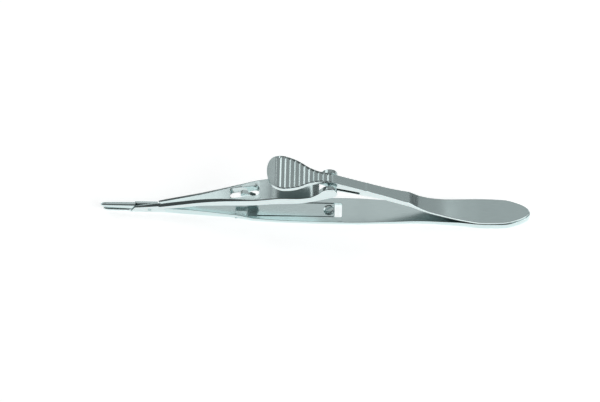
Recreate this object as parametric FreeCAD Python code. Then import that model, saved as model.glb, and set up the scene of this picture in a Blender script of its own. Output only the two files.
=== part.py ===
# Ophthalmic needle holder with a serrated thumb rest and a sliding catch
# X runs from the jaws to the butt, Y across, Z up. It lies on its lower handle.
import FreeCAD, Part
import math
import os

os.makedirs("parts", exist_ok=True)
V = FreeCAD.Vector

# Driving dimensions, millimetres and degrees
overall_length = 160.0
tip_x = -overall_length / 2
butt_x = overall_length / 2

# Jaws and lap joint
jaw_length = 12.9
jaw_half_width = 0.8
lower_jaw_set_back = 1.1
joint_from_tip = 18.3
joint_height = 2.2
cheek_length = 10.9
cheek_half_width = 1.28
shoulder_slant = 30.0
joint_pin_diameter = 1.6
upper_jaw_slope = 4.4
jaw_opening = 4.1
jaw_tip_top = 3.4
jaw_root_top = 4.4
jaw_bottom = 0.45
grip_offset = 0.62
tooth_pitch = 0.62
tooth_depth = 0.12

# Jaw lever, a bevelled arm that widens into a slotted plate with a fork
lever_depth_front = 2.4
lever_plate_depth = 3.7
plate_from_joint = 45.5
plate_half_width = 4.7
plate_top = 16.6
catch_slot_start = 30.0
catch_slot_length = 11.0
catch_slot_width = 4.3

# Fork, its pin and the slot that the pin slides in
fork_from_joint = 66.9
fork_pin_height = 20.2
ear_radius = 2.9
ear_thickness = 1.7
fork_gap = 5.8
fork_throat = 3.75
fork_pin_diameter = 1.0
pin_slot_clearance = 0.13
pin_slot_slope = 17.0
pin_slot_length = 11.2

# Lower handle
arm_top_front = 2.9
handle_top = 2.3
handle_arch = 0.9
handle_half_width = 5.0
butt_half_width = 5.65
butt_thickness = 2.5
rib_thickness = 1.5
rib_height = 5.0
rib_from_joint = 13.0

# Upper handle
bar_half_width = 1.9
eye_wall = 0.45
leaf_thickness = 1.0
leaf_half_width = 5.15
weld_length = 17.5
cross_ridge_height = 0.14

# Thumb rest
rest_length = 23.9
rest_half_width = 7.3
rest_neck_half_width = 2.2
rest_thickness = 1.35
rest_slope = 9.2
rest_curl = 0.75
rest_past_pin = 0.8
seat_above_pin = 2.5
seat_length = 4.8
groove_count = 11
groove_depth = 0.42

# Sliding catch in the window of the lower handle
slide_from_joint = 40.0
slide_length = 29.0
catch_travel = 3.7
window_rear_gap = 2.6
window_width = 5.3
sliding_gap = 0.08
hook_thickness = 1.5
hook_length = 3.6
hook_nose = 2.4
hook_top = 13.9
nose_depth = 2.6
catch_screw_diameter = 2.0
screw_head_diameter = 4.0
screw_head_height = 0.9
screw_from_end = 2.5
button_length = 11.4
button_width = 7.6
button_thickness = 0.75

# Places and clearances worked out from the sizes above
joint_x = tip_x + joint_from_tip
shoulder_x = tip_x + jaw_length
cheek_end_x = shoulder_x + cheek_length
shoulder_top = joint_height + 1.4
plate_start_x = joint_x + plate_from_joint
pin_x = joint_x + fork_from_joint
weld_start_x = butt_x - weld_length
rest_end_x = pin_x + rest_past_pin
seat_height = fork_pin_height + seat_above_pin
slide_start_x = joint_x + slide_from_joint
slide_end_x = slide_start_x + slide_length
screw_x = slide_end_x - screw_from_end
window_start_x = slide_start_x - catch_travel - 0.1
window_end_x = slide_end_x + window_rear_gap
track_start_x = slide_start_x - hook_length - catch_travel - 0.7
side_gap = 0.04
end_gap = 0.2
seated_gap = 0.02
bottomless = 40.0


def smooth(points):
    """One smooth edge through the points."""
    curve = Part.BSplineCurve()
    curve.interpolate(points)
    return curve.toShape()


def face_from(edges):
    """A flat face inside a closed run of edges."""
    return Part.Face(Part.Wire(Part.__sortEdges__(edges)))


def side_slab(upper, lower, y0, y1):
    """A solid between a smooth upper and a smooth lower line, from y0 to y1."""
    top = smooth([V(x, y0, z) for x, z in upper])
    bottom = smooth([V(x, y0, z) for x, z in lower])
    ends = []
    for a, b in ((upper[0], lower[0]), (upper[-1], lower[-1])):
        ends.append(Part.makeLine(V(a[0], y0, a[1]), V(b[0], y0, b[1])))
    return face_from([top, bottom] + ends).extrude(V(0, y1 - y0, 0))


def side_polygon(points, y0, y1):
    """A solid with a straight-sided outline in side view, from y0 to y1."""
    corners = [V(x, y0, z) for x, z in points]
    wire = Part.makePolygon(corners + corners[:1])
    return Part.Face(wire).extrude(V(0, y1 - y0, 0))


def plan_slab(halves, z0, z1, round_end=None):
    """A solid with a mirrored outline in plan, from z0 to z1."""
    near = [V(x, -half, z0) for x, half in halves]
    far = [V(x, half, z0) for x, half in halves]
    front = Part.makeLine(near[0], far[0])
    if round_end is None:
        edges = [smooth(near), smooth(far), Part.makeLine(near[-1], far[-1]), front]
    else:
        tip = V(round_end, 0, z0)
        edges = [smooth(far + [tip] + near[::-1]), front]
    return face_from(edges).extrude(V(0, 0, z1 - z0))


def box(x0, x1, y0, y1, z0, z1):
    """A box between two corners."""
    return Part.makeBox(x1 - x0, y1 - y0, z1 - z0, V(x0, y0, z0))


def round_uprights(solid, radius):
    """Rounds the upright edges of a box."""
    corners = [e for e in solid.Edges if abs(e.tangentAt(0).z) > 0.9]
    return solid.makeFillet(radius, corners)


def cross_rod(x, z, radius, y0, y1):
    """A rod that lies across the instrument."""
    return Part.makeCylinder(radius, y1 - y0, V(x, y0, z), V(0, 1, 0))


def upright_rod(x, radius, z0, z1):
    """A rod that stands on the centre line."""
    return Part.makeCylinder(radius, z1 - z0, V(x, 0, z0), V(0, 0, 1))


def behind_pin(share):
    """The place at a share of the way from the fork pin back to the butt."""
    return pin_x + share * (butt_x - pin_x)


def bevelled_ring(x, z_top, depth, half, run, drop):
    """The outline of a bar with its two top corners bevelled, at x."""
    points = [
        V(x, -half, z_top - depth),
        V(x, -half, z_top - drop),
        V(x, -half + run, z_top),
        V(x, half - run, z_top),
        V(x, half, z_top - drop),
        V(x, half, z_top - depth),
    ]
    return Part.makePolygon(points + points[:1])


def grip_line(x, lift):
    """Height of a jaw's gripping face at x, on a slope of lift degrees from the joint."""
    return joint_height - grip_offset + (joint_x - x) * math.tan(math.radians(lift))


def toothed(x0, x1, lift, side, half):
    """Cutter for fine cross grooves in a gripping face, upwards with side 1, down with -1."""
    count = int(round((x1 - x0) / tooth_pitch))
    pitch = (x1 - x0) / count
    points = [(x0, grip_line(x0, lift))]
    for i in range(count):
        crest = x0 + pitch * (i + 0.5)
        foot = x0 + pitch * (i + 1)
        points.append((crest, grip_line(crest, lift) + side * tooth_depth))
        points.append((foot, grip_line(foot, lift)))
    points.append((x1, grip_line(x1, lift) - side * tooth_depth))
    points.append((x0, grip_line(x0, lift) - side * tooth_depth))
    return side_polygon(points, -half, half)


def jaw_plan(front):
    """The plan of a jaw, a slender tongue that narrows to a round tip at front."""
    halves = [
        (front + 0.55, jaw_half_width * 0.52),
        (front + 3.4, jaw_half_width * 0.77),
        (front + 11.0, jaw_half_width * 0.98),
        (shoulder_x + 1.0, jaw_half_width),
    ]
    near = [V(x, -half, -1) for x, half in halves]
    far = [V(x, half, -1) for x, half in halves]
    nose = Part.Arc(far[0], V(front, 0, -1), near[0]).toShape()
    back = Part.makeLine(near[-1], far[-1])
    return face_from([nose, smooth(near), smooth(far), back]).extrude(V(0, 0, bottomless))


def shoulder_line(z, gap):
    """Where the slanted front of the near cheek, moved forward by gap, is at height z."""
    return shoulder_x - gap - (shoulder_top - z) * math.tan(math.radians(shoulder_slant))


def fixed_jaw():
    """The upper jaw, which belongs to the lower handle."""
    end = shoulder_x
    upper = [(tip_x, jaw_tip_top), (tip_x + 3.4, jaw_tip_top + 0.35), (end, jaw_root_top)]
    lower = [(x, grip_line(x, upper_jaw_slope)) for x in (tip_x, tip_x + 6, end)]
    jaw = side_slab(upper, lower, -jaw_half_width, jaw_half_width).common(jaw_plan(tip_x))
    jaw = jaw.cut(toothed(tip_x + 0.3, end - 1.5, upper_jaw_slope, 1, jaw_half_width))
    room = [
        (shoulder_line(0, 2 * end_gap), 0),
        (shoulder_line(shoulder_top, 2 * end_gap), shoulder_top),
        (shoulder_x - 2 * end_gap, bottomless),
        (shoulder_x + 1, bottomless),
        (shoulder_x + 1, 0),
    ]
    jaw = jaw.cut(side_polygon(room, -cheek_half_width, side_gap))
    run = jaw_half_width * 0.45
    for side in (-1, 1):
        edge = side * jaw_half_width
        points = [V(tip_x - 1, edge, jaw_tip_top - 0.35), V(tip_x - 1, edge, 9)]
        points.append(V(tip_x - 1, edge - side * run, jaw_tip_top))
        wedge = Part.Face(Part.makePolygon(points + points[:1]))
        jaw = jaw.cut(wedge.extrude(V(jaw_length + 1.01, 0, jaw_root_top - jaw_tip_top)))
    return jaw


def moving_jaw():
    """The lower jaw, which belongs to the jaw lever."""
    front = tip_x + lower_jaw_set_back
    end = shoulder_x + 0.8
    lift = upper_jaw_slope - jaw_opening
    upper = [(x, grip_line(x, lift)) for x in (front, front + 6, end)]
    lower = [(front, jaw_bottom + 0.2), (front + 4, jaw_bottom), (end, jaw_bottom + 0.3)]
    jaw = side_slab(upper, lower, -jaw_half_width, jaw_half_width).common(jaw_plan(front))
    jaw = jaw.cut(toothed(front + 0.3, shoulder_x - 1.5, lift, -1, jaw_half_width))
    return jaw.cut(box(shoulder_x - end_gap, end + 1, -side_gap, 5, -1, 9))


def near_cheek():
    """The near half of the lap joint, on the jaw lever, with its slanted shoulder."""
    points = [
        (shoulder_line(jaw_bottom + 0.2, 0), jaw_bottom + 0.2),
        (shoulder_x, shoulder_top),
        (joint_x, joint_height + 2.35),
        (cheek_end_x, joint_height + 3.1),
        (cheek_end_x, jaw_bottom + 0.25),
        (joint_x, jaw_bottom + 0.15),
    ]
    return side_polygon(points, -cheek_half_width, -side_gap)


def far_cheek():
    """The far half of the lap joint, on the lower handle."""
    step = joint_x + cheek_length * 0.30
    points = [
        (shoulder_x, 1.0),
        (shoulder_x + 1.2, 0.45),
        (cheek_end_x + 0.5, 0.3),
        (cheek_end_x + 0.5, arm_top_front - 0.1),
        (step - 0.2, arm_top_front - 0.1),
        (step - 0.2, jaw_root_top + 0.1),
        (shoulder_x, jaw_root_top),
    ]
    return side_polygon(points, side_gap, cheek_half_width)


def lower_handle():
    """Lower handle, its arm, the far cheek and the upper jaw, forged in one."""
    start = cheek_end_x + end_gap
    top = [
        (start, arm_top_front),
        (joint_x + 14, arm_top_front + 0.15),
        (joint_x + 31, handle_top - 0.25),
        (slide_start_x, handle_top - 0.2),
        (pin_x - 5.2, handle_top + 0.1),
        (behind_pin(0.278), handle_top),
        (behind_pin(0.519), handle_top - 0.25),
        (weld_start_x, butt_thickness + 0.05),
        (butt_x, butt_thickness + 0.05),
    ]
    under = [
        (start, 0.3),
        (joint_x + 15, 0.05),
        (joint_x + 24, -0.03),
        (screw_x - 19.8, handle_arch - 0.25),
        (screw_x - 12, handle_arch - 0.03),
        (screw_x + 1.2, handle_arch - 0.03),
        (behind_pin(0.225), handle_arch - 0.05),
        (behind_pin(0.519), 0.12),
        (behind_pin(0.626), -0.03),
        (behind_pin(0.813), -0.05),
        (butt_x, -0.05),
    ]
    plan = [
        (start, cheek_half_width - 0.05),
        (joint_x + 15, 1.75),
        (joint_x + 31, 2.85),
        (slide_start_x - 0.1, handle_half_width - 0.85),
        (joint_x + 55.7, handle_half_width - 0.2),
        (behind_pin(0.091), handle_half_width),
        (behind_pin(0.291), handle_half_width - 0.5),
        (behind_pin(0.465), handle_half_width - 1.0),
        (behind_pin(0.626), handle_half_width - 0.35),
        (behind_pin(0.773), butt_half_width),
        (behind_pin(0.866), butt_half_width - 0.1),
        (behind_pin(0.9465), butt_half_width - 1.9),
    ]
    wide = 2 * butt_half_width
    handle = side_slab(top, under, -wide, wide)
    handle = handle.common(plan_slab(plan, 0, bottomless, butt_x))
    seat_start = weld_start_x - 10
    handle = handle.cut(box(seat_start, butt_x + 1, -wide, wide, butt_thickness, bottomless))
    rub_start = screw_x - 14
    handle = handle.cut(box(rub_start, screw_x + 7, -wide, wide, -1, handle_arch))
    rib_start_x = joint_x + rib_from_joint
    rib = [
        (rib_start_x, 1.0),
        (track_start_x, 1.0),
        (track_start_x, rib_height),
        (rib_start_x + 7, rib_height - 1.1),
        (rib_start_x, rib_height - 2),
    ]
    handle = handle.fuse(side_polygon(rib, -rib_thickness / 2, rib_thickness / 2))
    half = window_width / 2
    floor = handle_arch - sliding_gap
    for start, z in ((window_start_x, floor), (slide_start_x + 1, -1)):
        window = box(start, window_end_x, -half, half, z, bottomless)
        handle = handle.cut(round_uprights(window, window_width * 0.2))
    half = hook_thickness / 2 + sliding_gap
    handle = handle.cut(box(track_start_x, window_start_x + 1, -half, half, floor, bottomless))
    handle = handle.fuse([far_cheek(), fixed_jaw()])
    radius = joint_pin_diameter / 2 + seated_gap
    bore = cross_rod(joint_x, joint_height, radius, side_gap, wide)
    return handle.cut(bore).removeSplitter()


def lever_arm():
    """The bevelled arm of the jaw lever, widening to the plate."""
    reach = plate_start_x - joint_x
    rise = plate_top - joint_height
    growth = lever_plate_depth - lever_depth_front
    stations = [
        (0.075, 0.198, -0.46, 0.319, 1.05, 0.45),
        (0.165, 0.278, 0.0, 0.366, 1.2, 0.5),
        (0.409, 0.4825, 0.154, 0.468, 1.15, 0.5),
        (0.574, 0.618, 0.46, 0.606, 0.95, 0.45),
        (0.736, 0.764, 0.77, 0.798, 0.6, 0.3),
        (0.901, 0.91, 1.0, 0.979, 0.25, 0.2),
        (1.0, 0.969, 1.0, 1.0, 0.2, 0.2),
    ]
    rings = []
    for along, up, deeper, wide, run, drop in stations:
        top = joint_height + up * rise
        depth = lever_depth_front + deeper * growth
        half = wide * plate_half_width
        rings.append(bevelled_ring(joint_x + along * reach, top, depth, half, run, drop))
    return Part.makeLoft(rings, True, False)


def lever_plate():
    """The wide plate, its rising rear end and the fork's two round ears."""
    start = plate_start_x - 0.5
    ear_front = pin_x - fork_throat
    half = fork_gap / 2 + ear_thickness
    upper = [
        (start, plate_top - 0.5),
        (start + 4, plate_top),
        (pin_x - 12, plate_top + 0.05),
        (ear_front - 2.6, plate_top + 1.1),
        (ear_front, fork_pin_height + 0.2),
        (pin_x - 1.6, fork_pin_height + ear_radius * 0.8),
    ]
    lower = [
        (start, plate_top - 0.5 - lever_plate_depth),
        (pin_x - 12, plate_top - lever_plate_depth + 0.2),
        (pin_x - 1.6, fork_pin_height - ear_radius * 0.9),
    ]
    plate = side_slab(upper, lower, -half, half)
    plan = [(start, plate_half_width), (pin_x - 9, plate_half_width), (pin_x, half)]
    plate = plate.common(plan_slab(plan, 0, bottomless))
    plate = plate.fuse(cross_rod(pin_x, fork_pin_height, ear_radius, -half, half))
    gap = fork_gap / 2
    return plate.cut(box(ear_front, pin_x + 2 * ear_radius, -gap, gap, 0, bottomless))


def jaw_lever():
    """Jaw lever with the lower jaw, the near cheek, the slotted plate and the fork."""
    lever = lever_arm().fuse([lever_plate(), near_cheek(), moving_jaw()])
    start = joint_x + catch_slot_start
    half = catch_slot_width / 2
    slot = box(start, start + catch_slot_length, -half, half, handle_top, bottomless)
    lever = lever.cut(round_uprights(slot, catch_slot_width * 0.35))
    wide = 2 * plate_half_width
    lever = lever.cut(cross_rod(pin_x, fork_pin_height, fork_pin_diameter / 2, -wide, wide))
    bore = joint_pin_diameter / 2 + seated_gap
    lever = lever.cut(cross_rod(joint_x, joint_height, bore, -wide, -side_gap))
    return lever.removeSplitter()


def slot_point(distance, rise):
    """A point that far along the pin slot from the fork pin, and that far above it."""
    c = math.cos(math.radians(pin_slot_slope))
    s = math.sin(math.radians(pin_slot_slope))
    return (pin_x + distance * c + rise * s, fork_pin_height - distance * s + rise * c)


def seat_line(x):
    """Height of the seat between the bar and the thumb rest at x."""
    return seat_height + (rest_end_x - x) * math.tan(math.radians(rest_slope))


def bend_line(stations):
    """Points of the upper handle's double bend, each a share of the way from the back end
    of the pin slot to the welded butt and a share of the pin's height."""
    start = slot_point(pin_slot_length, 0)[0]
    reach = weld_start_x - start
    return [(start + along * reach, fork_pin_height * up) for along, up in stations]


def upper_handle():
    """Upper handle: slotted bar, double bend, spring leaf and leaf-shaped butt in one."""
    half_slot = fork_pin_diameter / 2 + pin_slot_clearance
    eye = half_slot + eye_wall
    over = seat_above_pin + 0.95
    top = [slot_point(-0.5, over - 0.1), slot_point(pin_slot_length * 0.3, over)]
    top += bend_line([
        (0.088, 0.889), (0.336, 0.6485), (0.42, 0.569), (0.487, 0.4406),
        (0.574, 0.3416), (0.737, 0.245), (0.886, 0.1955),
    ])
    top += [(weld_start_x, butt_thickness + leaf_thickness)]
    top += [(butt_x, butt_thickness + leaf_thickness)]
    under = [slot_point(-0.5, -eye), slot_point(pin_slot_length, -eye)]
    under += bend_line([
        (0.088, 0.7277), (0.336, 0.52), (0.42, 0.4505), (0.487, 0.3713),
        (0.574, 0.2871), (0.737, 0.1955), (0.886, 0.1485),
    ])
    under += [(weld_start_x, butt_thickness - 0.03), (butt_x, butt_thickness - 0.1)]
    plan = [
        (pin_x - 2, bar_half_width),
        (behind_pin(0.134), bar_half_width),
        (behind_pin(0.267), bar_half_width + 0.05),
        (behind_pin(0.361), bar_half_width + 0.4),
        (behind_pin(0.4545), bar_half_width + 0.95),
        (behind_pin(0.548), bar_half_width + 1.6),
        (behind_pin(0.668), leaf_half_width - 0.5),
        (weld_start_x, leaf_half_width),
        (behind_pin(0.866), leaf_half_width - 0.35),
        (behind_pin(0.933), leaf_half_width - 1.7),
    ]
    wide = 2 * leaf_half_width
    handle = side_slab(top, under, -wide, wide)
    for share, up in ((0.088, 0.889), (0.42, 0.569)):
        ridge_x, ridge_z = bend_line([(share, up)])[0]
        radius = 4 * cross_ridge_height
        ridge_z += cross_ridge_height - radius
        handle = handle.fuse(cross_rod(ridge_x, ridge_z, radius, -wide, wide))
    handle = handle.common(plan_slab(plan, 0, bottomless, butt_x - 2 * end_gap))
    leaf_start = weld_start_x - 10
    handle = handle.cut(box(leaf_start, butt_x + 1, -wide, wide, 0, butt_thickness))
    nose = cross_rod(pin_x, fork_pin_height, eye, -bar_half_width, bar_half_width)
    lip_x = rest_end_x - seat_length
    lip = [
        (lip_x, seat_line(lip_x)),
        (rest_end_x, seat_line(rest_end_x)),
        (rest_end_x, fork_pin_height + eye),
        (pin_x - 0.9, fork_pin_height + eye * 0.6),
        (lip_x, seat_line(lip_x) - 0.6),
    ]
    handle = handle.fuse([nose, side_polygon(lip, -bar_half_width, bar_half_width)])
    above = [
        (lip_x - 1, seat_line(lip_x - 1)),
        (rest_end_x, seat_line(rest_end_x)),
        (rest_end_x, bottomless),
        (lip_x - 1, bottomless),
    ]
    handle = handle.cut(side_polygon(above, -bar_half_width - 1, bar_half_width + 1))
    slot = []
    for distance, rise in ((0, -1), (pin_slot_length, -1), (pin_slot_length, 1), (0, 1)):
        slot.append(slot_point(distance, rise * half_slot))
    handle = handle.cut(side_polygon(slot, -wide, wide))
    for distance in (0, pin_slot_length):
        x, z = slot_point(distance, 0)
        handle = handle.cut(cross_rod(x, z, half_slot, -wide, wide))
    return handle.removeSplitter()


def rest_lift(x):
    """How far the thumb rest curls up above the line of its seat at x."""
    return rest_curl * ((rest_end_x - x) / rest_length) ** 3


def thumb_rest():
    """Serrated spoon-shaped thumb rest, brazed on the front end of the bar."""
    front = rest_end_x - rest_length
    halves = [
        (rest_end_x, rest_neck_half_width - 0.2),
        (rest_end_x - rest_length * 0.146, rest_neck_half_width),
        (rest_end_x - rest_length * 0.356, rest_neck_half_width + 2.1),
        (rest_end_x - rest_length * 0.565, rest_half_width - 0.7),
        (rest_end_x - rest_length * 0.711, rest_half_width),
        (rest_end_x - rest_length * 0.858, rest_half_width - 1.35),
        (rest_end_x - rest_length * 0.954, rest_half_width - 3.6),
    ]
    upper = []
    lower = []
    for step in range(7):
        x = rest_end_x - rest_length * step / 6
        upper.append((x, seat_line(x) + rest_lift(x) + rest_thickness))
        lower.append((x, seat_line(x) + rest_lift(x) - 0.03))
    wide = 2 * rest_half_width
    plate = side_slab(upper, lower, -wide, wide)
    plate = plate.common(plan_slab(halves, 0, bottomless, front))
    first = front + rest_length * 0.176
    pitch = (rest_end_x - 0.47 - first) / groove_count
    rise = 2 * groove_depth
    for i in range(groove_count + 1):
        x = first + pitch * i
        foot = seat_line(x) + rest_lift(x) + rest_thickness - groove_depth
        groove = [(x - pitch * 0.72, foot + rise), (x, foot), (x + pitch * 0.72, foot + rise)]
        plate = plate.cut(side_polygon(groove, -wide, wide))
    near = rest_end_x + 1
    far = front - 1
    floor = [(near, seat_line(near)), (far, seat_line(far)), (far, seat_height), (near, seat_height - 3)]
    return plate.cut(side_polygon(floor, -wide, wide)).removeSplitter()


def catch_slide():
    """Flat slide in the window, with the hook that rises through the lever's slot."""
    half = window_width / 2 - sliding_gap
    plate = box(slide_start_x, slide_end_x, -half, half, handle_arch, handle_top)
    plate = round_uprights(plate, window_width * 0.2)
    foot = slide_start_x
    points = [
        (foot + 0.8, handle_arch),
        (foot - hook_length, handle_arch),
        (foot - hook_length, hook_top - nose_depth - 0.8),
        (foot - hook_length - hook_nose, hook_top - nose_depth + 0.4),
        (foot - hook_length - hook_nose, hook_top),
        (foot - hook_length + 0.6, hook_top),
        (foot - 0.4, hook_top - 2.2),
        (foot + 0.2, handle_top + 2.5),
        (foot + 0.8, handle_top),
    ]
    plate = plate.fuse(side_polygon(points, -hook_thickness / 2, hook_thickness / 2))
    radius = catch_screw_diameter / 2 + 0.05
    plate = plate.cut(upright_rod(screw_x, radius, 0, handle_top))
    return plate.removeSplitter()


def catch_screw():
    """Slotted cheese-head screw that ties the slide to its button."""
    top = handle_top + screw_head_height
    shank = upright_rod(screw_x, catch_screw_diameter / 2, handle_arch - 0.5, handle_top)
    head = upright_rod(screw_x, screw_head_diameter / 2, handle_top, top)
    wide = screw_head_diameter
    head = head.cut(box(screw_x - wide, screw_x + wide, -0.3, 0.3, top - 0.45, top + 1))
    return shank.fuse(head).removeSplitter()


def catch_button():
    """Flat button under the lower handle, which the finger pushes."""
    top = handle_arch - sliding_gap
    half = button_width / 2
    end = slide_end_x - sliding_gap
    body = box(end - button_length, end, -half, half, top - button_thickness, top)
    body = round_uprights(body, button_width * 0.2)
    return body.cut(upright_rod(screw_x, catch_screw_diameter / 2, -1, handle_top))


def joint_pin():
    """Pivot pin of the lap joint, ground flush."""
    radius = joint_pin_diameter / 2
    return cross_rod(joint_x, joint_height, radius, -cheek_half_width, cheek_half_width)


def fork_pin():
    """Pin through the fork's ears and the handle's slot."""
    half = fork_gap / 2 + ear_thickness
    return cross_rod(pin_x, fork_pin_height, fork_pin_diameter / 2, -half, half)


pieces = {
    "lower_handle": lower_handle(),
    "jaw_lever": jaw_lever(),
    "upper_handle": upper_handle(),
    "thumb_rest": thumb_rest(),
    "catch_slide": catch_slide(),
    "catch_screw": catch_screw(),
    "catch_button": catch_button(),
    "joint_pin": joint_pin(),
    "fork_pin": fork_pin(),
}
for name, shape in pieces.items():
    print(name, "solids", len(shape.Solids), "valid", shape.isValid(), "%.2f mm3" % shape.Volume)
    shape.exportStep("parts/" + name + ".step")
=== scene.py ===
# %% [markdown]
# # A needle holder for eye surgery
# The instrument is a pair of long spring handles, a slotted jaw lever and narrow jaws.
# The CAD model gives every place and size. Here each forging gets the soft edges,
# bevels and satin finish of the real one, and the scene gets light and a camera.

# %% Load the frame
import math

import bmesh
import bpy
import numpy as np
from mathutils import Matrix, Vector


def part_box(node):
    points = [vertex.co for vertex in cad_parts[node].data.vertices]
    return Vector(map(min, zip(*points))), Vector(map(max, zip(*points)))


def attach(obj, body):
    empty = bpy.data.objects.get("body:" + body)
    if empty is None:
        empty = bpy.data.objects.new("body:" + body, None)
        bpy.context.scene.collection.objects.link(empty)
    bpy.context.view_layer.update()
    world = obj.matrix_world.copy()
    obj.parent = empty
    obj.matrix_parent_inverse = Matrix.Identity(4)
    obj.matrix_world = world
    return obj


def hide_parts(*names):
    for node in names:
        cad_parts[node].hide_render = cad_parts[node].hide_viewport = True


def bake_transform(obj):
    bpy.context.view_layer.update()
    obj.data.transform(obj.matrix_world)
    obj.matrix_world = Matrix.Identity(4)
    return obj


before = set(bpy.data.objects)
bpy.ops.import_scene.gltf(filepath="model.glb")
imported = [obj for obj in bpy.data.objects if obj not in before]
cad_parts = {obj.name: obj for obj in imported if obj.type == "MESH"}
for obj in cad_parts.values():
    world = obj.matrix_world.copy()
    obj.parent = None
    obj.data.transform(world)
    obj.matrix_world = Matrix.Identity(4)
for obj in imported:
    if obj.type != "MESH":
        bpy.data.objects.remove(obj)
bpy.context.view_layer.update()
MM = 0.001
SHARP = math.radians(32)  # edges steeper than this stay crisp
print("nodes", sorted(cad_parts))

# %% [markdown]
# ## Smooth lines and sections
# A forged instrument changes its width and height smoothly from one station to the next.
# So each outline is a line through a few stations, and a piece is a section that
# is carried along X while those lines set its size. An ordinary spline would swing past
# the stations. A cubic piece between neighbours, with careful slopes, doesn't.


# %% A smooth line through stations
def line_through(stations):
    """A smooth line through (x, value) stations.

    Each piece is a cubic. Its slope at a station is the harmonic mean of the two
    straight slopes that meet there, or zero at a turn, so it never swings past.
    """
    xs, values = np.array(stations, float).T
    steps = np.diff(xs)
    slopes = np.diff(values) / steps
    before, after = slopes[:-1], slopes[1:]
    same_way = before * after > 0
    mean = 2 * before * after / np.where(same_way, before + after, 1.0)
    lean = np.concatenate([slopes[:1], np.where(same_way, mean, 0.0), slopes[-1:]])

    def line(x):
        x = np.clip(x, xs[0], xs[-1])
        i = np.clip(np.searchsorted(xs, x, side="right") - 1, 0, len(steps) - 1)
        t = (x - xs[i]) / steps[i]
        rise = 3 * t**2 - 2 * t**3
        swing = lean[i] * t * (1 - t) ** 2 + lean[i + 1] * t**2 * (t - 1)
        return values[i] * (1 - rise) + values[i + 1] * rise + steps[i] * swing

    return line


def round_ended(stations, tip, way):
    """Half-width of a plan that closes in a round end at tip.

    The stations are read against the square root of the distance from the tip,
    which makes the outline meet the centre line at a right angle.
    """
    points = [(math.sqrt(way * (tip - x)), half) for x, half in stations]
    near_tip = line_through(sorted(points + [(0.0, 0.0)]))
    return lambda x: near_tip(np.sqrt(np.maximum(way * (tip - x), 0.0)))


check_line = line_through([(0, 0), (1, 1), (2, 1)])
print("a line through three stations, halfway:", round(float(check_line(0.5)), 3))


# %% Rounded sections and the skin between them
def rounded_loop(corners, radii, steps=3):
    """Rounds the corners of closed outlines, one outline per station.

    On each corner the point at t is (1-t)^2 times a point before the corner, plus
    2t(1-t) times the corner, plus t^2 times a point after it.
    """
    corners = [np.stack(np.broadcast_arrays(*corner), -1) for corner in corners]
    corners = np.stack(np.broadcast_arrays(*corners))
    ends = []
    for shift in (1, -1):
        side = np.roll(corners, shift, axis=0) - corners
        length = np.maximum(np.linalg.norm(side, axis=-1), 1e-9)
        radius = np.stack([np.broadcast_to(r, length.shape[1:]) for r in radii])
        share = np.minimum(radius / length, 0.48)
        ends.append(corners + side * share[..., None])
    t = np.linspace(0, 1, steps + 1)[:, None, None, None]
    bend = (1 - t) ** 2 * ends[0] + 2 * t * (1 - t) * corners + t**2 * ends[1]
    return bend.transpose(2, 1, 0, 3).reshape(corners.shape[1], -1, 2)


def along_x(x, loops):
    """Gives (y, z) loops their x, one loop per station."""
    place = np.broadcast_to(x[:, None, None], loops.shape[:2] + (1,))
    return np.concatenate([place, loops], -1)


def halves(x, top, bottom, outer, inner, run, drop, edge=0.1):
    """The two halves of a bar with a bevelled top edge and an opening down its middle.

    A half-section runs from the opening out along the top, down the bevel and the
    side, and back along the bottom. The other half is its mirror image.
    """
    depth = top - bottom
    drop = np.minimum(drop, 0.4 * depth)
    run = np.minimum(run, 0.8 * (outer - inner))
    low = np.minimum(0.2, 0.3 * np.minimum(depth, outer - inner))
    lip = np.where(inner > 0, edge, 0.0)
    corners = [
        (inner, top),
        (outer - run, top),
        (outer, top - drop),
        (outer, bottom + low),
        (outer - low, bottom),
        (inner, bottom),
    ]
    loops = along_x(x, rounded_loop(corners, (lip, edge, edge, edge, edge, lip)))
    mirrored = loops[:, ::-1] * (1, -1, 1)
    return [loops, mirrored]


def skin(loops):
    """Quads between neighbouring loops, and a flat cap on the first and last loop."""
    count, around = loops.shape[:2]
    ids = np.arange(count * around).reshape(count, around)
    ahead = np.roll(ids, -1, axis=1)
    quads = np.stack([ids[:-1], ahead[:-1], ahead[1:], ids[1:]], -1).reshape(-1, 4)
    on_middle = np.abs(loops[..., 1].ravel()[quads]).max(axis=1) < 1e-6
    faces = quads[~on_middle].tolist()
    return faces + [ids[0][::-1].tolist(), ids[-1].tolist()]


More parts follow.
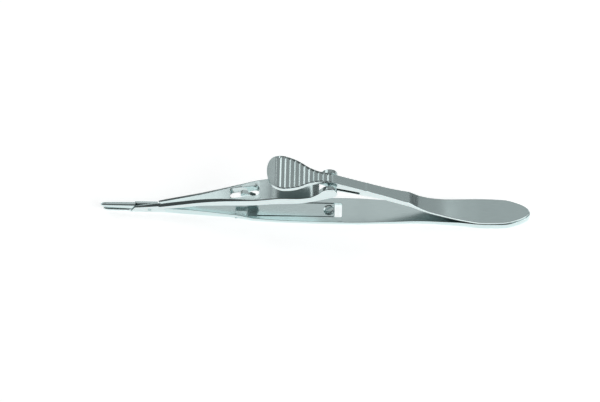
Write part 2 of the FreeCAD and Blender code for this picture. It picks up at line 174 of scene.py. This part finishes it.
# %% From arrays to a finished piece
def forge(name, shells, body, node, finishes_and_painted_light, bevel=0.0):
    """One mesh object from several shells of loops, in millimetres, riding on a body.

    There are three tones of one steel: for the faces that look up, for those that look to
    a side, where y is more than 0.75 of the normal, and for those that look down, where z
    is below -0.5. Where they differ, the pale side tone is painted light and the darker
    tops and undersides are painted shade.
    """
    points = np.concatenate([shell.reshape(-1, 3) for shell in shells]) * MM
    faces = []
    start = 0
    for shell in shells:
        faces += [[i + start for i in face] for face in skin(shell)]
        start += shell.shape[0] * shell.shape[1]
    mesh = bpy.data.meshes.new(name)
    mesh.from_pydata(points, [], faces)
    work = bmesh.new()
    work.from_mesh(mesh)
    bmesh.ops.remove_doubles(work, verts=work.verts, dist=0.001 * MM)
    bmesh.ops.dissolve_degenerate(work, edges=work.edges, dist=0.001 * MM)
    bmesh.ops.recalc_face_normals(work, faces=work.faces)
    work.to_mesh(mesh)
    work.free()
    mesh.shade_smooth()
    mesh.set_sharp_from_angle(angle=SHARP)
    piece = bpy.data.objects.new(name, mesh)
    bpy.context.scene.collection.objects.link(piece)
    if bevel:
        soft = piece.modifiers.new("soft edges", "BEVEL")
        soft.width = bevel * MM
        soft.segments = 3
        soft.limit_method = "ANGLE"
        soft.angle_limit = SHARP
    flat = piece.modifiers.new("flat faces stay flat", "WEIGHTED_NORMAL")
    flat.keep_sharp = True
    for finish in finishes_and_painted_light:
        mesh.materials.append(finish)
    normals = np.empty(len(mesh.polygons) * 3)
    mesh.polygons.foreach_get("normal", normals)
    normals = normals.reshape(-1, 3)
    # Side faces get the pale tone, which is painted light, and downward faces the dark tone,
    # which is painted shade.
    down_painted_shade = np.where(normals[:, 2] < -0.5, 2, 0)
    painted_light_kind = np.where(np.abs(normals[:, 1]) > 0.75, 1, down_painted_shade)
    mesh.polygons.foreach_set("material_index", painted_light_kind.astype(np.int32))
    if body:
        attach(piece, body)
    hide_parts(node)
    print(name, len(mesh.polygons), "faces")
    return piece


# %% [markdown]
# ## The steel
# The real instrument is stainless steel with a satin finish: it was brushed along its
# length and then passivated, which leaves it a touch cool in colour. A mirror finish
# would be wrong, and so would one flat grey. Fine noise that is stretched along X
# makes the brush marks, and a broad, faint cloud changes how rough the surface is.
#
# The picture shows different tones, so tops, side edges and undersides get copies of one
# steel in tones of their own. The darker tops of the lever and the spring are painted shade,
# the pale side edges are painted light, and the dark underside is painted shade, a guess
# from the dark shade between the two leaves. These colours were fitted under the lamps below.


# %% A brushed steel for each kind of surface
def brushed_steel(name, tint, rough, grain, mark):
    """Metal with stretched noise for brush marks. grain is marks per metre along and
    across, rough the middle roughness, and mark the height of the marks."""
    steel = bpy.data.materials.new(name)
    steel.use_nodes = True
    nodes, links = steel.node_tree.nodes, steel.node_tree.links
    metal = nodes["Principled BSDF"]
    metal.inputs["Metallic"].default_value = 1.0
    place = nodes.new("ShaderNodeTexCoord")
    stretch = nodes.new("ShaderNodeMapping")
    stretch.inputs["Scale"].default_value = (grain[0], grain[1], grain[1])
    marks = nodes.new("ShaderNodeTexNoise")
    marks.inputs["Scale"].default_value = 1.0
    marks.inputs["Detail"].default_value = 4.0
    cloud = nodes.new("ShaderNodeTexNoise")
    cloud.inputs["Scale"].default_value = 90.0
    cloud.inputs["Detail"].default_value = 3.0
    colour = nodes.new("ShaderNodeValToRGB")
    colour.color_ramp.elements[0].position = 0.3
    colour.color_ramp.elements[1].position = 0.7
    colour.color_ramp.elements[0].color = tuple(0.93 * c for c in tint) + (1,)
    colour.color_ramp.elements[1].color = tint + (1,)
    spread = nodes.new("ShaderNodeMapRange")
    spread.inputs["From Min"].default_value = 0.3
    spread.inputs["From Max"].default_value = 0.7
    spread.inputs["To Min"].default_value = rough - 0.04
    spread.inputs["To Max"].default_value = rough + 0.05
    bump = nodes.new("ShaderNodeBump")
    bump.inputs["Strength"].default_value = 0.25
    bump.inputs["Distance"].default_value = mark
    links.new(place.outputs["Object"], stretch.inputs["Vector"])
    links.new(stretch.outputs["Vector"], marks.inputs["Vector"])
    links.new(place.outputs["Object"], cloud.inputs["Vector"])
    links.new(marks.outputs["Fac"], colour.inputs["Fac"])
    links.new(cloud.outputs["Fac"], spread.inputs["Value"])
    links.new(marks.outputs["Fac"], bump.inputs["Height"])
    links.new(colour.outputs["Color"], metal.inputs["Base Color"])
    links.new(spread.outputs["Result"], metal.inputs["Roughness"])
    links.new(bump.outputs["Normal"], metal.inputs["Normal"])
    return steel


along, across_it, all_round = (350.0, 5200.0), (4200.0, 500.0), (3000.0, 3000.0)
scratch, fine_scratch = 0.01 * MM, 0.004 * MM
satin = brushed_steel("satin_steel", (0.73, 0.86, 0.86), 0.22, along, scratch)
# The leaf's greyer tint is painted shade: a shaded copy of the same satin steel.
leaf_satin_painted_shade = brushed_steel("leaf_satin_painted_shade_steel", (0.55, 0.66, 0.66), 0.22, along, scratch)
# The lever's darker tint is painted shade: a shaded copy of the same satin steel.
lever_satin_painted_shade = brushed_steel("lever_satin_painted_shade_steel", (0.42, 0.50, 0.50), 0.22, along, scratch)
# The pale side tint is painted light: a lit copy of the same steel.
pale_side_painted_light = brushed_steel("pale_side_painted_light_edge_steel", (0.78, 0.88, 0.88), 0.2, along, scratch)
# The dark underside tint is painted shade; the underside is also rougher.
dull_and_painted_shade = brushed_steel("dull_and_painted_shade_underside_steel", (0.19, 0.23, 0.23), 0.42, along, scratch)
cross_cut = brushed_steel("cross_cut_steel", (0.50, 0.59, 0.59), 0.22, across_it, scratch)
bright = brushed_steel("bright_steel", (0.52, 0.62, 0.62), 0.16, all_round, fine_scratch)
print("finishes:", [steel.name for steel in bpy.data.materials if steel.use_nodes])

# %% [markdown]
# ## Places taken from the frame
# The CAD nodes say where the instrument starts and ends, where the pins sit and how
# long the openings are. Every number below is in millimetres and starts from them.


# %% Read the places
def span(node):
    """Lowest and highest corner of a CAD node, in millimetres."""
    low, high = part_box(node)
    return np.array(low) / MM, np.array(high) / MM


tip_x = span("lower_handle")[0][0]
butt_x = span("lower_handle")[1][0]
joint = sum(span("joint_pin")) / 2
fork = sum(span("fork_pin")) / 2
slide_low, slide_high = span("catch_slide")
button_low = span("catch_button")[0]
rest_low, rest_high = span("thumb_rest")
joint_x, joint_z = joint[0], joint[2]
pin_x, pin_z = fork[0], fork[2]
print("tip %.1f butt %.1f joint %.1f pin %.1f" % (tip_x, butt_x, joint_x, pin_x))

# %% [markdown]
# ## Lower handle
# The long lower handle is one forging with the far half of the lap joint and the
# upper jaw. It is slim behind the joint, wide where the catch slides in a window, and
# ends in a leaf-shaped butt. A boolean could cut the window, but its edges would come
# out ragged. Here the handle is two half-sections, and the window and its narrow track
# are where they part. The track and the window's front are only pockets, so a slab
# closes them from below.

# %% Stations for long pieces
shoulder_x = joint_x - 5.4
foot = slide_low[0] + 6.0
window_start, window_end = foot - 3.8, slide_high[0] + 2.6
track_start = foot - 8.0
pocket_end = foot + 1.0
pocket_floor = 0.82


def stations(start, end, spacing, *steps):
    """Places along X at an even spacing, doubled closely at each sudden step."""
    count = int((end - start) / spacing) + 1
    even = np.linspace(start, end, count)
    doubled = [s + shift for s in steps for shift in (-0.01, 0.01)]
    return np.unique(np.concatenate([even, doubled]))


def near_end(tip, way, reach, count=24):
    """Places that crowd towards a round end, as squares of even steps."""
    return tip - way * reach * np.linspace(0, 1, count) ** 2


def opening(x, start, end, half, corner):
    """Half-width of an opening with round corners: the corner's circle near each end."""
    depth = np.minimum(x - start, end - x)
    into = np.clip(corner - depth, 0.0, corner)
    width = half - corner + np.sqrt(corner**2 - into**2)
    return np.where(depth >= 0, width, 0.0)


# %% The handle's two halves
handle_plan = round_ended(
    [
        (joint_x + 5.7, 1.23), (joint_x + 15, 1.75), (joint_x + 31, 2.85),
        (joint_x + 39.8, 4.45), (-6, 5.35), (12, 5.55), (27, 4.95), (40, 4.2),
        (52, 4.65), (63, 5.65), (70, 5.5), (76, 3.8),
    ],
    butt_x, 1,
)
handle_top = line_through([
    (joint_x + 5.7, 2.9), (joint_x + 14, 3.05), (joint_x + 31, 2.05),
    (joint_x + 39.8, 2.1), (0, 2.4), (26, 2.3), (44, 2.05), (62.5, 2.5), (butt_x, 2.5),
])
handle_under = line_through([
    (joint_x + 5.7, 0.3), (joint_x + 15, 0.03), (joint_x + 24, 0.0), (-15, 0.65),
    (-6, 0.9), (12, 0.9), (22, 0.85), (44, 0.12), (52, 0.0), (butt_x, 0.0),
])
x = np.unique(np.concatenate([
    stations(joint_x + 5.7, butt_x - 9, 0.7, track_start, window_start, window_end),
    window_start + np.linspace(0, 1.1, 7),
    window_end - np.linspace(0, 1.1, 7),
    near_end(butt_x, 1, 9),
]))
window_half = 3.1
window = opening(x, window_start, window_end, window_half, 0.45)
track = opening(x, track_start, window_start + 1, 0.95, 0.05)
lower_shells = halves(
    x, handle_top(x), handle_under(x), handle_plan(x), np.maximum(window, track), 0.15, 0.45
)
print("lower handle stations", len(x))


# %% Pocket floor, cheek and upper jaw
def slab(x, top, bottom, y0, y1, edge=0.12):
    """A bar with four rounded edges between y0 and y1."""
    edge = np.minimum(edge, 0.3 * (top - bottom))
    corners = [(y0, top), (y1, top), (y1, bottom), (y0, bottom)]
    return along_x(x, rounded_loop(corners, (edge,) * 4))


def cheek(x, top, bottom, side, half, run, drop, edge=0.07):
    """Half of the lap joint, from the middle to one side, bevelled along its outer top."""
    corners = [
        (side * 0.04, bottom), (side * 0.04, top), (side * (half - run), top),
        (side * half, top - drop), (side * half, bottom),
    ]
    return along_x(x, rounded_loop(corners, (0.0, edge, edge, edge, edge)))


def slanted(loops, share):
    """Leans loops forward by half of their depth below the shoulder's top, by a share."""
    depth = 3.6 - loops[..., 2]
    loops[..., 0] -= depth * math.tan(math.radians(30)) * share[:, None]
    return loops


pocket_x = stations(track_start - 0.1, pocket_end, 0.6, window_start)
pocket_top = np.where(pocket_x < window_start, 0.42, pocket_floor)
lower_shells.append(
    slab(
        pocket_x, pocket_top, handle_under(pocket_x) + 0.02,
        -window_half - 0.05, window_half + 0.05, 0.0,
    )
)


def teeth(x):
    """Fine cross grooves as a triangle wave, 0.62 mm long and 0.12 mm deep."""
    turn = (x - tip_x) / 0.62
    return 0.24 * np.abs(turn - np.floor(turn) - 0.5)


def grip(x, lift):
    """Height of a gripping face that leaves the joint at a slope of lift degrees."""
    return joint_z - 0.62 + (joint_x - x) * math.tan(math.radians(lift))


def tongue_plan(front):
    """Half-width of a jaw that starts in a round tip at front."""
    return round_ended([(front + 1.1, 0.7), (front + 3.4, 0.8), (front + 14, 0.88)], front, -1)


cheek_x = stations(shoulder_x, joint_x + 6, 0.5, joint_x + 3.1)
cheek_top = np.where(cheek_x < joint_x + 3.1, 4.45, 2.8)
cheek_under = line_through([
    (shoulder_x, 1.0), (shoulder_x + 1.2, 0.45), (joint_x + 6, 0.3)
])
lower_shells.append(cheek(cheek_x, cheek_top, cheek_under(cheek_x), 1, 1.265, 0.5, 0.3))


def jaw(x, plan, top, bottom):
    """A slender tongue: a section with two top bevels, narrowing to a round tip."""
    half = np.maximum(plan(x), 0.02)
    run = half * 0.5
    fall = np.minimum(0.3, 0.4 * (top - bottom))
    corners = [
        (-half, bottom), (-half, top - fall), (-half + run, top),
        (half - run, top), (half, top - fall), (half, bottom),
    ]
    edge = 0.3 * np.minimum(half, top - bottom)
    edge = np.minimum(edge, 0.1)
    return along_x(x, rounded_loop(corners, (edge,) * 6))


jaw_end = shoulder_x - 0.4
upper_x = np.unique(np.concatenate([
    near_end(tip_x, -1, 1.5, 12), stations(tip_x + 1.5, jaw_end, 0.31)
]))
upper_plan = tongue_plan(tip_x)
upper_top = line_through([
    (tip_x, 3.9), (tip_x + 0.5, 4.15), (tip_x + 3, 4.35), (shoulder_x, 4.45)
])
upper_jaw = jaw(upper_x, upper_plan, upper_top(upper_x), grip(upper_x, 4.4) + teeth(upper_x))
lower_shells.append(slanted(upper_jaw, np.clip((upper_x - jaw_end + 2) / 2, 0, 1)))
root_x = stations(shoulder_x - 2.5, shoulder_x + 0.6, 0.3)
lower_shells.append(
    cheek(root_x, upper_top(root_x), grip(root_x, 4.4) + 0.1, 1, 0.86, 0.42, 0.29)
)
forge(
    "lower_handle_forging", lower_shells, "lower_body", "lower_handle", (satin, satin, satin),
)

# %% [markdown]
# ## Jaw lever
# The lever carries the lower jaw. Its slim arm has a wide bevel on both top edges and
# grows into a flat plate with a slot for the catch. At its end two round ears hold the
# fork pin. The ears are where the plate's top and bottom lines follow a circle.

# %% Arm, plate and ears
ear = 2.9
ear_end = pin_x + ear
lever_top_line = line_through([
    (joint_x + 3.4, 4.85), (joint_x + 7.5, 6.1), (joint_x + 18.6, 9.38),
    (joint_x + 26.1, 11.45), (joint_x + 33.5, 13.22), (joint_x + 41, 15.02),
    (joint_x + 45.5, 16.0), (joint_x + 49, 16.6), (pin_x - 12, 16.68),
    (pin_x - 7.5, 17.5), (pin_x - 4.1, 19.9), (pin_x - 1.6, 22.6), (ear_end, 23.4),
])
lever_under_line = line_through([
    (joint_x + 3.4, 3.25), (joint_x + 7.5, 3.7), (joint_x + 18.6, 6.55),
    (joint_x + 26.1, 8.1), (joint_x + 33.5, 9.8), (joint_x + 41, 11.6),
    (joint_x + 45.5, 12.45), (pin_x - 12, 13.15), (pin_x - 3.5, 15.6), (pin_x + 0.9, 17.4),
])
lever_plan = line_through([
    (joint_x + 3.4, 1.5), (joint_x + 7.5, 1.72), (joint_x + 18.6, 2.2),
    (joint_x + 26.1, 2.85), (joint_x + 33.5, 3.75), (joint_x + 41, 4.6),
    (joint_x + 45.5, 4.7), (pin_x - 9, 4.7), (pin_x, 4.62), (ear_end, 4.62),
])
bevel_run = line_through([
    (joint_x + 3.4, 1.05), (joint_x + 7.5, 1.2), (joint_x + 18.6, 1.15),
    (joint_x + 26.1, 0.95), (joint_x + 33.5, 0.6), (joint_x + 41, 0.28), (ear_end, 0.2),
])
bevel_drop = line_through([
    (joint_x + 3.4, 0.45), (joint_x + 18.6, 0.5), (joint_x + 33.5, 0.3),
    (joint_x + 41, 0.2), (ear_end, 0.2),
])
slot_start, slot_end = joint_x + 30.0, joint_x + 41.0
throat = pin_x - 3.75
x = np.unique(np.concatenate([
    stations(joint_x + 3.4, ear_end - 2.5, 0.5, slot_start, slot_end, throat),
    slot_start + np.linspace(0, 1.5, 9),
    slot_end - np.linspace(0, 1.5, 9),
    near_end(ear_end, 1, 2.6),
]))
circle = np.sqrt(np.maximum(ear**2 - (x - pin_x) ** 2, 0.0))
past_top = x > pin_x - 1.6
past_under = x > pin_x + 0.9
top = np.where(past_top, pin_z + circle, lever_top_line(x))
under = np.where(past_under, pin_z - circle, lever_under_line(x))
slot = opening(x, slot_start, slot_end, 2.15, 1.5)
gap = np.where(x > throat, 2.9, 0.0)
lever_shells = halves(
    x, top, under, lever_plan(x), np.maximum(slot, gap), bevel_run(x), bevel_drop(x)
)
print("lever stations", len(x))

# %% Near cheek and lower jaw
cheek_x = stations(shoulder_x, joint_x + 5.5, 0.4)
cheek_top = line_through([(shoulder_x, 3.6), (joint_x, 4.45), (joint_x + 5.5, 5.3)])
cheek_under = line_through([(shoulder_x, 0.65), (joint_x, 0.6), (joint_x + 5.5, 0.7)])
cheek_run = line_through([(shoulder_x, 0.35), (joint_x, 0.75), (joint_x + 5.5, 1.1)])
near_cheek = cheek(
    cheek_x, cheek_top(cheek_x), cheek_under(cheek_x), -1, 1.265, cheek_run(cheek_x),
    0.42 * cheek_run(cheek_x),
)
lever_shells.append(slanted(near_cheek, np.clip((joint_x - 1.5 - cheek_x) / 3.9, 0, 1)))
front = tip_x + 1.1
lower_plan = tongue_plan(front)
jaw_x = np.unique(np.concatenate([
    near_end(front, -1, 1.5, 12), stations(front + 1.5, shoulder_x - 0.2, 0.31)
]))
jaw_under = line_through([
    (front, 0.75), (front + 0.6, 0.55), (front + 4, 0.45), (shoulder_x, 0.75)
])
lever_shells.append(jaw(jaw_x, lower_plan, grip(jaw_x, 0.3) - teeth(jaw_x), jaw_under(jaw_x)))
link_x = stations(shoulder_x - 2.2, shoulder_x + 0.6, 0.3)
lever_shells.append(slab(link_x, grip(link_x, 0.3), jaw_under(link_x), -0.86, -0.04))
# The lever's tops get painted shade and its side faces painted light.
forge(
    "jaw_lever_forging", lever_shells, "lever_body", "jaw_lever", (lever_satin_painted_shade, pale_side_painted_light, satin),
)

# %% [markdown]
# ## Upper handle
# The upper handle starts as a bar with a long pin slot, drops in a double bend and runs
# out as a thin spring leaf that is welded to the lower butt. The slot runs across the
# bar, so here an upper and a lower strip part from each other instead of two halves.
# The leaf bends when the handles are squeezed. Here the piece rides on no body, and its
# place is baked into its mesh.

# %% Two strips round the pin slot
slope = math.tan(math.radians(17.0))
slot_front, slot_back = pin_x - 0.63, pin_x + 11.34
bar_top = line_through([
    (pin_x - 4.0, 23.48), (pin_x + 0.8, 22.7), (pin_x + 0.82, 23.75),
    (pin_x + 2.4, 23.25), (pin_x + 4.2, 22.5), (pin_x + 14.8, 17.95), (pin_x + 26.3, 13.1),
    (pin_x + 29.4, 11.9), (pin_x + 33.4, 8.9), (pin_x + 37.5, 6.9),
    (pin_x + 45, 4.95), (pin_x + 52, 3.95), (62.5, 3.5), (butt_x, 3.5),
])
bar_under = line_through([
    (pin_x - 4.0, 22.85), (pin_x - 1.3, 21.1), (pin_x - 1.08, 20.5), (pin_x - 0.9, 19.6),
    (pin_x - 0.3, 19.2), (pin_x + 10.4, 15.9), (pin_x + 14.8, 14.7),
    (pin_x + 26.3, 10.5), (pin_x + 30.3, 9.1), (pin_x + 33.4, 7.5),
    (pin_x + 37.5, 5.8), (pin_x + 45, 3.95), (pin_x + 52, 2.98), (62.5, 2.5), (butt_x, 2.5),
])
bar_plan = round_ended(
    [
        (pin_x - 4, 1.9), (pin_x + 10, 1.9), (pin_x + 20, 1.95), (pin_x + 27, 2.3),
        (pin_x + 34, 2.85), (pin_x + 41, 3.5), (pin_x + 50, 4.65), (62.5, 5.3),
        (70, 5.05), (75, 3.75),
    ],
    butt_x - 0.4, 1,
)
x = np.unique(np.concatenate([
    stations(pin_x - 4, butt_x - 9, 0.45, pin_x + 0.81),
    slot_front + 0.63 * np.linspace(0, 1, 8) ** 2,
    slot_back - 0.63 * np.linspace(0, 1, 8) ** 2,
    near_end(butt_x - 0.4, 1, 9),
]))
# Two low cross ridges mark where the bends begin. Each is a bell curve along X.
ridges = 0.16 * np.exp(-(((x - pin_x - 14.0) / 0.4) ** 2))
ridges += 0.08 * np.exp(-(((x - pin_x - 29.4) / 0.35) ** 2))
top = bar_top(x) + ridges
under = bar_under(x)
half = bar_plan(x)
slit_line = pin_z - (x - pin_x) * slope
middle = np.clip(slit_line, under + 0.25 * (top - under), under + 0.75 * (top - under))
end_gap = np.minimum(x - slot_front, slot_back - x)
into = np.clip(0.63 - end_gap, 0.0, 0.63)
slit = np.where(end_gap > 0, np.sqrt(0.63**2 - into**2), 0.0) / math.cos(math.radians(17))
edge = np.minimum(0.14, 0.25 * np.minimum(half + 0.01, top - under))


def strip(x, half, high, low, edge_high, edge_low):
    """A flat strip between two heights, with its own rounding at the top and bottom."""
    corners = [(-half, low), (-half, high), (half, high), (half, low)]
    return along_x(x, rounded_loop(corners, (edge_low, edge_high, edge_high, edge_low)))


upper_shells = [
    strip(x, half, top, middle + slit, edge, 0.0),
    strip(x, half, middle - slit, under, 0.0, edge),
]
# The handle's tops and underside get painted shade and its side faces painted light.
upper_handle = forge(
    "upper_handle_forging", upper_shells, None, "upper_handle", (leaf_satin_painted_shade, pale_side_painted_light, dull_and_painted_shade),
)
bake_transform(upper_handle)

# %% [markdown]
# ## Thumb rest
# A spoon-shaped plate is brazed on the front end of the bar. File cuts across it make
# sawtooth ridges, steep towards the jaws and gentle towards the butt, so the thumb
# can't slip forward. The cuts fade before the rim, and a smooth band is left in front.

# %% Spoon with file-cut ridges
rest_end = rest_high[0]
rest_front = rest_low[0]
rest_length = rest_end - rest_front
rest_plan = round_ended(
    [
        (rest_end, 2.0), (rest_end - 3.5, 2.2), (rest_end - 8.05, 3.5),
        (rest_end - 10.7, 5.0), (rest_end - 12.9, 6.1), (rest_end - 15.5, 6.9),
        (rest_end - 18.1, 7.28), (rest_end - 21.1, 6.5), (rest_end - 23, 4.3),
    ],
    rest_front, -1,
)
x = np.unique(np.concatenate([
    stations(rest_front + 3, rest_end, 0.11),
    near_end(rest_front, -1, 3.2, 30),
]))
back = (rest_end - x)[:, None]
seat = rest_low[2] + back * math.tan(math.radians(9.2))
curl = 0.75 * (back / rest_length) ** 3
half = np.maximum(rest_plan(x), 0.02)[:, None]
across = np.sin(np.linspace(-1, 1, 41) * math.pi / 2)[None, :]
y = half * across
pitch = (rest_length - 4.67) / 11
turn = (x[:, None] - rest_front - 5.05) / pitch + 1.14
phase = turn - np.floor(turn)
saw = np.where(phase < 0.28, phase / 0.28, (1 - phase) / 0.72)
rim = np.clip((half - np.abs(y) - 0.2) / 0.6, 0, 1)
cut = np.clip(turn / 0.3, 0, 1) * rim
roll = np.clip(1 - (half - np.abs(y)) / 0.12, 0, 1)
face_z = seat + curl + 1.35 - 0.42 * (1 - saw) * cut - 0.12 * (1 - np.sqrt(1 - roll**2))
back_z = seat + curl
stretch = np.broadcast_to(x[:, None], face_z.shape)
face = np.stack([stretch, y, face_z], -1)
underside = np.stack([stretch, y, np.broadcast_to(back_z, y.shape)], -1)[:, ::-1]
# The rest's side faces get painted light and its underside painted shade.
forge(
    "thumb_rest_plate", [np.concatenate([face, underside], 1)],
    "handle_body", "thumb_rest", (cross_cut, pale_side_painted_light, dull_and_painted_shade),
)

# %% [markdown]
# ## Sliding catch
# The finger pushes a flat slide along the window. Its hook stands up through the
# lever's slot and catches over the slot's front end when the jaws are shut. A slotted
# screw ties the slide to its button under the handle.

# %% Slide and hook
x = np.unique(np.concatenate([
    foot + 0.4 * np.linspace(0, 1, 6) ** 2,
    stations(foot + 0.4, slide_high[0] - 0.4, 2.0),
    slide_high[0] - 0.4 * np.linspace(0, 1, 6) ** 2,
]))
plate_half = opening(x, foot, slide_high[0], slide_high[1] + 0.2, 0.35)
slide_shells = [slab(x, 2.3, 0.9, -plate_half, plate_half, 0.05)]
# A keel under the slide closes the gap beside it. Its front part runs over the pocket.
past_pocket = pocket_end + 3.9
keel_x = stations(foot + 0.7, button_low[0], 1.0, past_pocket)
keel_under = np.where(keel_x < past_pocket, pocket_floor + 0.05, 0.25)
keel_half = window_half - 0.05
slide_shells.append(slab(keel_x, 0.97, keel_under, -keel_half, keel_half, 0.02))
hook_side = [
    (0.8, 0.9), (-3.6, 0.9), (-3.6, 10.5), (-6.0, 11.7), (-6.0, 13.1),
    (-5.1, 13.9), (-3.4, 13.4), (-0.4, 11.4), (0.2, 4.8), (0.8, 2.3),
]
outline = np.array([(foot + a, 0.0, b) for a, b in hook_side])
slide_shells.append(np.stack([outline + (0, side, 0) for side in (-0.75, 0.75)]))
forge(
    "catch_slide_plate", slide_shells, "catch_body", "catch_slide", (satin, satin, satin),
    0.1,
)

# %% Slotted screw
screw_low, screw_high = span("catch_screw")
screw = (screw_low + screw_high) / 2 + (0.3, 0, 0)
rows = 41
u, v = np.meshgrid(np.linspace(-1, 1, rows), np.linspace(-1, 1, rows))
disc_u = u * np.sqrt(1 - v**2 / 2)
disc_v = v * np.sqrt(1 - u**2 / 2)
turn_of = math.radians(35)
radius = (screw_high[0] - screw_low[0]) / 2
flat_x = radius * (disc_u * math.cos(turn_of) - disc_v * math.sin(turn_of))
flat_y = radius * (disc_u * math.sin(turn_of) + disc_v * math.cos(turn_of))
far = disc_u**2 + disc_v**2
head_z = screw_high[2] - 0.35 * far**2 - 0.45 * (np.abs(v) < 0.16)
head = np.stack([screw[0] + flat_x, screw[1] + flat_y, head_z], -1)
last = rows - 1
rim_ids = np.concatenate([
    np.arange(rows), np.arange(1, rows) * rows + last,
    last * rows + np.arange(last - 1, -1, -1), np.arange(last - 1, 0, -1) * rows,
])
edge_ring = head.reshape(-1, 3)[rim_ids]
low_ring = edge_ring.copy()
low_ring[:, 2] = screw_low[2]
print("screw rim points", len(edge_ring))


# %% Faces of the screw's head
points = np.concatenate([head.reshape(-1, 3), low_ring]) * MM
ids = np.arange(rows * rows).reshape(rows, rows)
quads = np.stack([ids[:-1, :-1], ids[:-1, 1:], ids[1:, 1:], ids[1:, :-1]], -1).reshape(-1, 4)
wall_low = rows * rows + np.arange(len(rim_ids))
walls = np.stack([
    rim_ids, wall_low, np.roll(wall_low, -1), np.roll(rim_ids, -1)
], -1)
mesh = bpy.data.meshes.new("catch_screw_head")
mesh.from_pydata(
    points, [], quads.tolist() + walls.tolist() + [wall_low[::-1].tolist()]
)
work = bmesh.new()
work.from_mesh(mesh)
bmesh.ops.recalc_face_normals(work, faces=work.faces)
work.to_mesh(mesh)
work.free()
mesh.shade_smooth()
mesh.set_sharp_from_angle(angle=SHARP)
mesh.materials.append(bright)
catch_screw = bpy.data.objects.new("catch_screw_head", mesh)
bpy.context.scene.collection.objects.link(catch_screw)
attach(catch_screw, "catch_body")
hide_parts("catch_screw")

# %% [markdown]
# ## Pins and button
# The two pins and the button keep their CAD shapes, because those are right already.
# They only need a finish.

# %% Finish the carried-over nodes
for node, finish in (("joint_pin", bright), ("fork_pin", bright), ("catch_button", satin)):
    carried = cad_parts[node].data
    carried.materials.clear()
    carried.materials.append(finish)
    print(node, "gets", finish.name)

# %% [markdown]
# ## Floor, light and camera
# The instrument lies on a plain white table. Steel shows what stands round it more than
# it shows light, so each lamp is placed where a face mirrors it. The one on the left
# gives the rising arm and the file cuts their bright faces. A broad one overhead gives
# level faces their middle grey, and one at the back right does so for falling faces.
# One from the right fills the table. Behind the camera it is darker, and the bevels
# mirror that.

# %% Floor
floor_mesh = bpy.data.meshes.new("table_top")
reach = 3.0
table_glow = 0.64  # with the light that falls on it, the table comes out white
floor_mesh.from_pydata(
    [(-reach, -reach, 0), (reach, -reach, 0), (reach, reach, 0), (-reach, reach, 0)],
    [], [(0, 1, 2, 3)],
)
floor = bpy.data.objects.new("table_top", floor_mesh)
bpy.context.scene.collection.objects.link(floor)
paper = bpy.data.materials.new("white_table")
paper.use_nodes = True
nodes, links = paper.node_tree.nodes, paper.node_tree.links
nodes.clear()
matt = nodes.new("ShaderNodeBsdfDiffuse")
matt.inputs["Color"].default_value = (0.88, 0.89, 0.89, 1)
glow = nodes.new("ShaderNodeEmission")
glow.inputs["Color"].default_value = (1.0, 1.0, 1.0, 1)
rays = nodes.new("ShaderNodeLightPath")
seen = nodes.new("ShaderNodeMath")
seen.operation = "ADD"
lift = nodes.new("ShaderNodeMath")
lift.operation = "MULTIPLY"
lift.inputs[1].default_value = table_glow
both = nodes.new("ShaderNodeAddShader")
sheet = nodes.new("ShaderNodeOutputMaterial")
links.new(rays.outputs["Is Camera Ray"], seen.inputs[0])
links.new(rays.outputs["Is Glossy Ray"], seen.inputs[1])
links.new(seen.outputs[0], lift.inputs[0])
links.new(lift.outputs[0], glow.inputs["Strength"])
links.new(matt.outputs[0], both.inputs[0])
links.new(glow.outputs[0], both.inputs[1])
links.new(both.outputs[0], sheet.inputs["Surface"])
floor_mesh.materials.append(paper)

# %% Lights
def soft_light(name, direction, distance, size, radiance):
    """A square soft light. Its power is radiance times pi times its area."""
    lamp = bpy.data.lights.new(name, "AREA")
    lamp.shape = "SQUARE"
    lamp.size = size
    lamp.energy = radiance * math.pi * size**2
    light = bpy.data.objects.new(name, lamp)
    bpy.context.scene.collection.objects.link(light)
    way = np.array(direction) / np.linalg.norm(direction)
    light.location = way * distance
    turn = math.atan2(way[0], -way[1])
    tilt = math.acos(way[2])
    light.rotation_euler = (tilt, 0, turn)
    return light


soft_light("left_back_light", (-0.619, 0.545, 0.5675), 0.9, 0.5, 1.7)
soft_light("overhead_light", (0.1, 0.62, 0.95), 1.2, 0.8, 0.45)
soft_light("right_back_light", (0.63, 0.545, 0.555), 1.2, 0.8, 0.35)
soft_light("right_fill", (0.9, -0.45, 0.5), 1.0, 0.8, 2.6)
world = bpy.data.worlds.new("pale_room")
world.use_nodes = True
world.node_tree.nodes["Background"].inputs["Color"].default_value = (0.96, 1.0, 1.0, 1)
world.node_tree.nodes["Background"].inputs["Strength"].default_value = 0.12
bpy.context.scene.world = world
bpy.context.scene.view_settings.view_transform = "Standard"

# %% Camera
lens, sensor = 300.0, 36.0
frame_width = 0.2238
away = frame_width * lens / sensor
elevation, swing = math.radians(57.0), math.radians(1.23)
aim = np.array([-5.78, 4.39, 1.3]) * MM
toward = np.array([
    math.cos(elevation) * math.sin(swing),
    -math.cos(elevation) * math.cos(swing),
    math.sin(elevation),
])
view = bpy.data.cameras.new("photo_view")
view.lens = lens
view.sensor_width = sensor
view.clip_end = 20
camera = bpy.data.objects.new("photo_view", view)
bpy.context.scene.collection.objects.link(camera)
camera.location = aim + toward * away
camera.rotation_euler = (math.pi / 2 - elevation, 0, swing)
bpy.context.scene.camera = camera
print("camera", round(away, 3), "m away")
